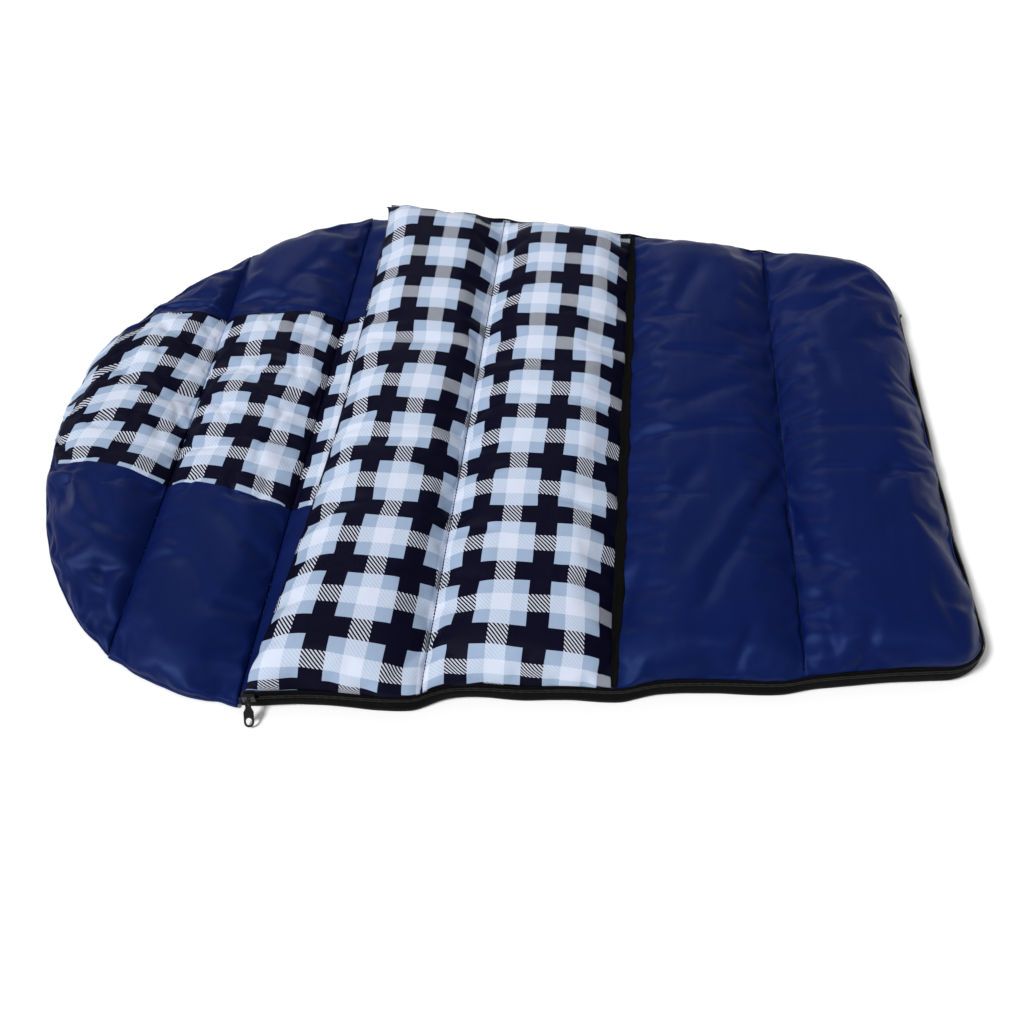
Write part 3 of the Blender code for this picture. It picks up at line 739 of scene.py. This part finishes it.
def walk(points, step):
    """Points a step apart along a line, with the direction at each."""
    total, found, want = 0.0, [], 0.0
    for a, b in zip(points, points[1:]):
        length = (b - a).length
        while want <= total + length and length > 0:
            found.append((a.lerp(b, (want - total) / length), (b - a) / length))
            want += step
        total += length
    return found


STITCH_PITCH, STITCH_LENGTH, STITCH_RADIUS = 0.0044, 0.0045, 0.0008


def attach(obj, body, slot, *nodes):
    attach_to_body(obj, body)
    if nodes:
        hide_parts(*nodes)


def stitches(name, points, body, node):
    """A row of short raised stitches along a seam."""
    mesh = bmesh.new()
    size = Matrix.Diagonal((STITCH_RADIUS, STITCH_RADIUS, STITCH_LENGTH / 2, 1.0))
    for place, direction in walk(points, STITCH_PITCH):
        turn = direction.to_track_quat("Z", "Y").to_matrix().to_4x4()
        shape = Matrix.Translation(place) @ turn @ size
        bmesh.ops.create_icosphere(mesh, subdivisions=1, radius=1.0, matrix=shape)
    data = bpy.data.meshes.new(name)
    mesh.to_mesh(data)
    mesh.free()
    data.polygons.foreach_set("use_smooth", [True] * len(data.polygons))
    data.materials.append(TAPE)
    obj = bpy.data.objects.new(name, data)
    SCENE.collection.objects.link(obj)
    attach(obj, body, "black_tape", node)


def strip(name, lines, skin, thickness):
    """A band of cloth through lines of points that all have the same count."""
    count = len(lines[0])
    verts = [tuple(p) for line in lines for p in line]
    faces = []
    for i in range(len(lines) - 1):
        for j in range(count - 1):
            a = i * count + j
            faces.append((a, a + 1, a + count + 1, a + count))
    data = bpy.data.meshes.new(name)
    data.from_pydata(verts, [], faces)
    data.polygons.foreach_set("use_smooth", [True] * len(faces))
    data.materials.append(skin)
    obj = bpy.data.objects.new(name, data)
    SCENE.collection.objects.link(obj)
    solid = obj.modifiers.new("Thickness", "SOLIDIFY")
    solid.thickness = thickness
    solid.offset = 0.0
    return obj


class Pad:
    """A finished quilt, with the numbers of its points."""

    def __init__(self, obj, number, xs, vs, along):
        self.obj, self.number, self.xs, self.vs, self.along = obj, number, xs, vs, along

    def point(self, i, j, lift=0.0):
        """The point at station i and share j of the upper sheet; negative numbers count from the end."""
        co = self.obj.data.vertices[self.number[i % len(self.xs), j % len(self.vs), "top"]].co
        return co + Vector((0, 0, lift))

    def across(self, x):
        """Points across the pad just over its top, at the station nearest to x."""
        i = min(range(len(self.xs)), key=lambda k: abs(self.xs[k] - x))
        return [self.point(i, j, SEAM_LIFT) for j in range(1, len(self.vs) - 1)]

    def edge(self, side, out, lift, low=-9.0, high=9.0):
        """Points along one side of the pad, moved outwards."""
        j = 0 if side < 0 else len(self.vs) - 1
        found = []
        for i, x in enumerate(self.xs):
            if low <= x <= high:
                found.append(self.point(i, j) + Vector((0, side * out, lift)))
        return found


# ---------------------------------------------------------------- pieces

NAVY = satin_material("navy_satin", (0.0015, 0.0062, 0.060))
COVER_PLAID = plaid_material("cover_plaid", PLAID_PERIOD, 0.0, 0.002 - CENTRE_Y)
HOOD_PLAID = plaid_material("hood_plaid", HOOD_PLAID_PERIOD, 0.0, 0.032)
TAPE = tape_material("zip_tape_cloth")
COIL = hard_material("zip_coil_nylon", (0.010, 0.010, 0.011), 0.38, 0.0)
METAL = hard_material("enamelled_metal", (0.016, 0.016, 0.018), 0.36, 0.6)

cover_plaid = Quilt(
    (MOUTH_X, SEAM_1_X, PANEL_SEAM_X), crown=0.0525, valley=0.0325, under=0.0290, pinch=0.0300, edge=0.0300,
    roll=0.055, ends=(0.030, 0.0), creases=COVER_CREASES, seed=1, drift=0.0020, zip_drop=0.0055,
    mouth_slant=True)
cover_navy = Quilt(
    (PANEL_SEAM_X, SEAM_2_X, FOOT_X), crown=0.0505, valley=0.0325, under=0.0290, pinch=0.0300, edge=0.0300,
    roll=0.060, ends=(0.0, 0.055), creases=COVER_CREASES, seed=2, drift=0.0, zip_drop=0.0055)
base_quilt = Quilt(
    (SEAM_B_X, SEAM_1_X, PANEL_SEAM_X, SEAM_2_X, FOOT_X), crown=0.0205, valley=0.0090, under=0.0005,
    pinch=0.0066, edge=0.0045, roll=0.055, ends=(0.0, 0.050), creases=[], seed=3, drift=0.002, striped=True,
    folds=((SEAM_B_X, 1),))
hood_neck = Quilt(
    (SEAM_A_X, SEAM_B_X), crown=0.0240, valley=0.0090, under=0.0005, pinch=0.0066, edge=0.0045,
    roll=0.060, ends=(0.0, 0.0), creases=HOOD_CREASES, seed=4, drift=0.0035, striped=True,
    folds=((SEAM_A_X, 1), (SEAM_B_X, -1)))
hood_tip = Quilt(
    (TIP_X, SEAM_A_X), crown=0.0260, valley=0.0090, under=0.0005, pinch=0.0066, edge=0.0045,
    roll=0.060, ends=(0.055, 0.0), creases=HOOD_CREASES, seed=5, drift=0.0035, striped=True,
    folds=((SEAM_A_X, -1),))


# Which of a pad's cloths lies at share v of the way across, on its upper or lower sheet.

def all_navy(v, level):
    return 0


def plaid_above(v, level):
    return 0 if level == "top" else 1


def strip_above(v, level):
    return 1 if level == "top" and abs(v) < STRIP_SHARE else 0


def make_pad(name, quilt, skins, skin_of, body, slot, nodes, slack, cap, start, step=CLOTH_STEP, skew=0.0):
    """A settled pad. start is a place along the bag, and what the flat cloth measures there."""
    obj, number, xs, vs, along = build_pad(name, quilt, step, skins, skin_of, start, skew)
    crease_seams(obj, number, xs, vs, quilt)
    held = set()
    for i, x in enumerate(xs):
        for j in range(len(vs)):
            at_seam = any(abs(x - s) < 1e-9 for s in quilt.seams)
            on_rim = j in (0, len(vs) - 1)
            held.add(number[i, j, "under"])
            if at_seam or on_rim:
                held.add(number[i, j, "top"])
    settle(obj, held, slack, cap)
    inner = [(i, j) for i in range(1, len(xs) - 1) for j in range(1, len(vs) - 1)]
    wrinkle(obj, quilt, {number[i, j, "top"] for i, j in inner})
    attach(obj, body, slot, *nodes)
    return Pad(obj, number, xs, vs, along)


plaid_half = make_pad(
    "cover_plaid_half", cover_plaid, (COVER_PLAID, NAVY), plaid_above, "cover", "plaid_cloth",
    ("cover_panel_plaid", "cover_lining", "cover_fill_1", "cover_fill_2", "mouth_hem"), 0.03, 0.010,
    (PLAID_X, 0.0))
navy_half = make_pad(
    "cover_navy_half", cover_navy, (NAVY,), all_navy, "cover", "navy_shell",
    ("cover_panel_navy", "cover_fill_3", "cover_fill_4"), 0.03, 0.010, (PANEL_SEAM_X, 0.0))
base_pad = make_pad(
    "base_quilt", base_quilt, (NAVY, HOOD_PLAID), strip_above, "base", "navy_shell",
    ("base_shell", "base_lining_plaid", "base_lining_near", "base_lining_far", "base_fill_1", "base_fill_2",
     "base_fill_3", "base_fill_4"), 0.02, 0.004, (SEAM_B_X, 0.002), CLOTH_STEP * 1.4, LINING_SKEW)
neck_pad = make_pad(
    "hood_quilt", hood_neck, (NAVY, HOOD_PLAID), strip_above, "hood", "navy_shell",
    ("hood_shell", "hood_lining_plaid", "hood_lining_near", "hood_lining_far", "hood_fill_1"),
    0.04, 0.008, (SEAM_B_X, 0.002), skew=LINING_SKEW)
tip_pad = make_pad(
    "hood_tip_quilt", hood_tip, (NAVY, HOOD_PLAID), strip_above, "hood_tip", "navy_shell",
    ("hood_tip_shell", "hood_tip_lining_plaid", "hood_tip_lining_near", "hood_tip_lining_far",
     "hood_tip_fill_1"), 0.04, 0.008, (SEAM_A_X, neck_pad.along[0]), skew=LINING_SKEW)


# ---------------------------------------------------------------- zip

def round_hardware():
    """The slider, pull, stop and box as the CAD has them, with their edges broken."""
    for word, node, body in (
        ("zip_slider", "zip_slider", "slider"), ("pull_tab", "pull_tab", "pull"),
        ("zip_stop", "zip_top_stop", "base"), ("zip_box", "zip_bottom_box", "base"),
    ):
        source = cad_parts[node]
        piece = bpy.data.objects.new(f"{word}_rounded", source.data.copy())
        piece.matrix_world = source.matrix_world.copy()
        SCENE.collection.objects.link(piece)
        piece.data.materials.clear()
        piece.data.materials.append(METAL)
        bevel = piece.modifiers.new("Bevel", "BEVEL")
        bevel.width = 0.00035
        bevel.segments = 2
        bevel.limit_method = "ANGLE"
        attach(piece, body, "blackened_metal", node)
    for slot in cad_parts["slider_bail"].material_slots:
        slot.material = METAL


def zip_stations(start_x, end_y, step):
    """Places along the zipped edge: x, y and the heading, before the foot's slant."""
    corner_x = FOOT_X - CORNER_RADIUS
    count = round((corner_x - start_x) / step)
    found = []
    for i in range(count):
        x = start_x + (corner_x - start_x) * i / count
        found.append((x, -taper_half(x), 0.0))
    for i in range(13):
        angle = math.pi / 2 * i / 12
        x = corner_x + CORNER_RADIUS * math.sin(angle)
        found.append((x, -taper_half(x) + CORNER_RADIUS * (1 - math.cos(angle)), angle))
    low = found[-1][1]
    count = round((end_y - low) / step)
    return found + [(FOOT_X, low + (end_y - low) * i / count, math.pi / 2) for i in range(1, count + 1)]


def beside_edge(station, out, z):
    """A point out from the zipped edge at a station."""
    x, y, angle = station
    normal = Vector((TAPER * math.cos(angle) + math.sin(angle), -math.cos(angle))).normalized()
    return Vector((*slanted(x + normal.x * out, y + normal.y * out), z))


def foot_wave(station):
    """How far the edge waves outwards at a station, along the side or round the foot."""
    x, y, angle = station
    return edge_wave(x) if angle == 0 else 0.0020 * noise_at(y, 0.0, 0.06, 9) * smooth(angle)


# A tape's levels: height, distance outwards, how much it follows the edge's wave, and how much its height
# wanders. The upper tape keeps close in, where the slider's slot is.
LOWER_TAPE = (
    (0.0018, 0.0016, 1.0, 0.0014),
    (0.0075, 0.0034, 0.9, 0.0006),
    (0.0140, 0.0030, 0.7, 0.0),
    (ZIP_Z - 0.0009, 0.0014, 0.8, 0.0),
)
UPPER_TAPE = (
    (ZIP_Z + 0.0009, 0.0010, 0.8, 0.0),
    (0.0240, 0.0011, 0.8, 0.0),
    (0.0262, 0.0010, 1.0, 0.0004),
    (0.0272, -0.0010, 1.0, 0.0004),
)
TAPE_THICKNESS = 0.0007
COIL_OUT, COIL_RISE, COIL_END_GAP = 0.0029, 0.0019, 0.004
COIL_RADIUS, COIL_WIRE = 0.00068, 0.00036
COIL_STEP, COIL_SIDES = 0.00034, 4


def make_tape(word, body, start_x, levels):
    """A wavy zip tape through its levels."""
    places = zip_stations(start_x, ZIP_END_Y, 0.005)
    lines = []
    for z, out, follow, wander in levels:
        line = []
        for station in places:
            along = station[0] - station[1]
            rise = wander * noise_at(along, 0.0, 0.045, 6) + 0.6 * wander * noise_at(along, 0.0, 0.02, 7)
            line.append(beside_edge(station, out + follow * foot_wave(station), z + rise))
        lines.append(line)
    tape = strip(f"zip_tape_{word}_wavy", lines, TAPE, TAPE_THICKNESS)
    attach(tape, body, "black_tape", f"zip_tape_{word}")


def make_coil(word, body, z, start_x):
    """The zip's teeth: a fine coil along the tape's free edge."""
    places = zip_stations(start_x + COIL_END_GAP, ZIP_END_Y - COIL_END_GAP, 0.004)
    line = [beside_edge(p, COIL_OUT + 0.8 * foot_wave(p), z) for p in places]
    points = []
    for number, (place, direction) in enumerate(walk(line, COIL_STEP)):
        turn = 2 * math.pi * number / COIL_SIDES
        side = Vector((direction.y, -direction.x, 0))
        points.append(place + COIL_RADIUS * (side * math.cos(turn) + Vector((0, 0, math.sin(turn)))))
    coil = tube(f"zip_coil_{word}_wound", points, COIL_WIRE, COIL, sides=4)
    attach(coil, body, "black_tape", f"zip_coil_{word}")


round_hardware()
make_tape("lower", "base", ZIP_START_X, LOWER_TAPE)
make_tape("upper", "cover", MOUTH_X + 0.001, UPPER_TAPE)
make_coil("lower", "base", ZIP_Z - COIL_RISE, ZIP_START_X)
make_coil("upper", "cover", ZIP_Z + COIL_RISE, MOUTH_X + 0.001)


# ---------------------------------------------------------------- seams and edges

RIM_RADIUS = 0.0017
FOLD_CORD_RADIUS = 0.0013
RIM_OUT, RIM_LIFT = 0.0002, -0.0012
BODY_SEAMS = (SEAM_1_X, PANEL_SEAM_X, SEAM_2_X)


def sew_seams():
    for number, x in enumerate(BODY_SEAMS, start=1):
        stitches(f"base_stitches_{number}", base_pad.across(x), "base", f"base_quilting_thread_{number}")
    for number, pad, x in ((1, plaid_half, SEAM_1_X), (2, navy_half, SEAM_2_X)):
        stitches(f"cover_stitches_{number}", pad.across(x), "cover", f"cover_quilting_thread_{number}")


def make_panel_tape():
    """The black tape over the seam between the cover's two halves."""
    rows = range(1, len(plaid_half.vs) - 1)
    lines = [[plaid_half.point(-2, j, SEAM_LIFT) for j in rows]]
    lines += [[plaid_half.point(-1, j, 0.0014) for j in rows]]
    lines += [[navy_half.point(i, j, SEAM_LIFT) for j in rows] for i in (1, 2)]
    attach(strip("panel_tape", lines, TAPE, 0.0008), "cover", "black_tape", "panel_piping")


def make_rims():
    """The cord along the cover's fold, and the bound edges of the hood."""
    line = plaid_half.edge(1, 0.0008, 0.0016)
    line += navy_half.edge(1, 0.0008, 0.0016, high=FOOT_X - FAR_CORNER_RADIUS)[1:]
    attach(tube("cover_fold_cord", line, FOLD_CORD_RADIUS, TAPE, sides=8), "cover", "black_tape")

    end = Vector((-0.0004, 0, RIM_LIFT))
    line = tip_pad.edge(1, RIM_OUT, RIM_LIFT)[::-1]
    line += [tip_pad.point(0, j) + end for j in range(len(tip_pad.vs) - 2, 0, -1)]
    line += tip_pad.edge(-1, RIM_OUT, RIM_LIFT)
    rim = tube("hood_tip_rim", line, RIM_RADIUS, NAVY, sides=8)
    attach(rim, "hood_tip", "navy_shell", "hood_tip_binding")
    for word, side in (("near", -1), ("far", 1)):
        rim = tube(f"hood_rim_{word}", neck_pad.edge(side, RIM_OUT, RIM_LIFT), RIM_RADIUS, NAVY, sides=8)
        attach(rim, "hood", "navy_shell", f"hood_binding_{word}")


def make_fold():
    """The folded side: shell cloth from the base's edge round to the cover's, gathered at the seams."""
    low_z, high_z, steps = 0.0046, 0.0300, 8
    low = base_pad.edge(1, 0.0, 0.0, low=MOUTH_X, high=FOOT_X - FAR_CORNER_RADIUS)
    lines = []
    for i in range(steps + 1):
        share = i / steps
        z = low_z + (high_z - low_z) * share
        line = []
        for p in low:
            pinch = math.exp(-((min(abs(p.x - s) for s in BODY_SEAMS) / 0.02) ** 2))
            ripple = 0.0030 * noise_at(p.x, z, 0.045, 12) * math.sin(math.pi * share)
            bulge = 0.0092 - 0.0045 * pinch + ripple
            line.append(Vector((p.x, p.y + bulge * math.sin(math.pi * share) ** 0.7, z)))
        lines.append(line)
    fold = strip("side_fold", lines, NAVY, 0.0009)
    flat = fold.data.attributes.new("flat", "FLOAT_VECTOR", "POINT")
    flat.data.foreach_set("vector", [c for v in fold.data.vertices for c in (v.co.x, v.co.z, 0.0)])
    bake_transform(fold)
    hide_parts("side_gusset")


sew_seams()
make_panel_tape()
make_rims()
make_fold()


# ---------------------------------------------------------------- floor, light and camera

FLOOR_HALF = 40
SUNS = (
    ("key", (-0.62, -0.42, 1.0), 2.85, 16.0),
    ("fill", (0.50, -0.40, 1.0), 0.45, 40.0),
    ("rim", (-0.25, 0.90, 0.55), 0.36, 12.0),
)
WORLD_STRENGTH = 0.24
CAMERA_PLACE, CAMERA_LENS = (0.143, -1.010, 1.197), 43.9
CAMERA_RIGHT, CAMERA_FORWARD = (0.993, 0.114, -0.015), (-0.081, 0.603, -0.794)


def make_stage():
    corners = [(x * FLOOR_HALF, y * FLOOR_HALF, 0) for x, y in ((-1, -1), (1, -1), (1, 1), (-1, 1))]
    floor = bpy.data.meshes.new("floor")
    floor.from_pydata(corners, [], [(0, 1, 2, 3)])
    stage = bpy.data.objects.new("floor", floor)
    nodes = Nodes("floor_white")
    nodes.shader.inputs["Base Color"].default_value = (0.97, 0.97, 0.97, 1)
    nodes.shader.inputs["Roughness"].default_value = 0.9
    floor.materials.append(nodes.material)
    SCENE.collection.objects.link(stage)


def make_lights():
    world = bpy.data.worlds.new("studio")
    world.use_nodes = True
    background = world.node_tree.nodes["Background"]
    background.inputs["Color"].default_value = (1, 1, 1, 1)
    background.inputs["Strength"].default_value = WORLD_STRENGTH
    SCENE.world = world
    for name, towards, strength, angle in SUNS:
        lamp = bpy.data.lights.new(name, "SUN")
        lamp.energy = strength
        lamp.angle = math.radians(angle)
        obj = bpy.data.objects.new(name, lamp)
        obj.rotation_euler = Vector(towards).to_track_quat("Z", "Y").to_euler()
        SCENE.collection.objects.link(obj)


def make_camera():
    forward = Vector(CAMERA_FORWARD).normalized()
    right = Vector(CAMERA_RIGHT)
    right = (right - forward * right.dot(forward)).normalized()
    up = right.cross(forward)
    camera = bpy.data.cameras.new("camera")
    camera.lens = CAMERA_LENS
    camera.sensor_width = 36.0
    obj = bpy.data.objects.new("camera", camera)
    turn = Matrix((right, up, -forward)).transposed().to_4x4()
    obj.matrix_world = Matrix.Translation(CAMERA_PLACE) @ turn
    SCENE.collection.objects.link(obj)
    SCENE.camera = obj


make_stage()
make_lights()
make_camera()
SCENE.view_settings.view_transform = "Standard"
